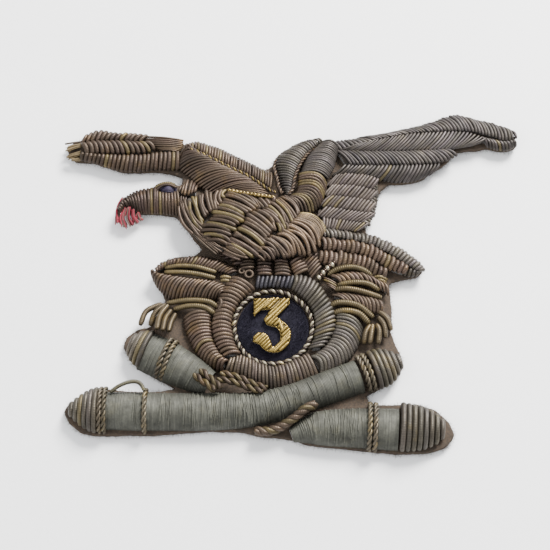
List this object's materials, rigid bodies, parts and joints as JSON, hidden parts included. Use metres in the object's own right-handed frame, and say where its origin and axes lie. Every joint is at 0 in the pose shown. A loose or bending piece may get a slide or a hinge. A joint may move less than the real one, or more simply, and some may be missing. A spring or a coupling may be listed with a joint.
{
  "type": "cap badge",
  "caption": "Embroidered wire cap badge: a spread eagle on a coiled horn with a numbered velvet disc, over crossed gun barrels, on felt.",
  "frame": {"origin": "on the flat rear face, behind the centre of the velvet disc", "axes": "+Z out of the front, +X along the longest extent towards the eagle's right-hand wing tip as seen, +Y towards the wings"},
  "size_m": [0.0982, 0.0769, 0.0062],
  "materials": {
    "backing": "matte stiffened lining",
    "felt": "faded wool felt",
    "cotton": "cotton string and felt padding",
    "velvet": "blue-black velvet",
    "card": "matte card",
    "gilt_wire": "worn gilt coiled wire",
    "bright_purl": "bright cut coil",
    "red_thread": "crimson floss",
    "eye_thread": "dark thread",
    "grey_wire": "tarnished silvered coiled wire",
    "brown_wire": "tarnished gilt coiled wire"
  },
  "bodies": {
    "root": {"backing": "backing", "felt_ground": "felt", "pad_left_wing": "cotton", "pad_head": "cotton", "pad_body": "cotton", "pad_arm": "cotton", "pad_right_wing": "cotton", "pad_tail": "cotton", "pad_ring": "cotton", "pad_leaves": "cotton", "core_front_barrel": "cotton", "core_rear_barrel": "cotton", "tip_padding": "cotton", "velvet_disc": "velvet", "numeral_card": "card", "numeral_purl": "gilt_wire", "disc_rope": "gilt_wire", "left_wing_row_1": "brown_wire", "left_wing_row_2": "brown_wire", "left_wing_row_3": "brown_wire", "left_wing_smooth": "brown_wire", "left_shoulder_short": "brown_wire", "left_shoulder_long": "brown_wire", "left_spine_cord": "gilt_wire", "left_shoulder_pearls": "gilt_wire", "head_purls": "brown_wire", "nape_purls": "brown_wire", "tongue": "red_thread", "eye": "eye_thread", "neck_purls": "brown_wire", "breast_purls": "brown_wire", "belly_purls": "brown_wire", "flank_purls": "brown_wire", "thigh_purls": "brown_wire", "arm_leading_purls": "grey_wire", "arm_fan_purls": "grey_wire", "arm_smooth_purls": "grey_wire", "arm_cords": "gilt_wire", "right_wing_row_1": "grey_wire", "right_wing_row_2": "grey_wire", "right_wing_row_3": "grey_wire", "right_wing_row_4": "grey_wire", "right_wing_tip": "grey_wire", "secondary_purls": "grey_wire", "tail_row_upper": "grey_wire", "tail_row_lower": "grey_wire", "ring_left_purls": "brown_wire", "ring_right_purls": "grey_wire", "ring_bottom_purls": "brown_wire", "leg_purls": "brown_wire", "leg_pearls": "bright_purl", "left_leaf_purls": "brown_wire", "left_tie_purls": "gilt_wire", "right_leaf_purls": "brown_wire", "tassels": "gilt_wire", "barrel_windings": "grey_wire", "barrel_bands": "gilt_wire", "barrel_end_rings": "brown_wire", "rope_ties": "gilt_wire", "loose_wire_loop": "gilt_wire"}
  },
  "joints": []
}
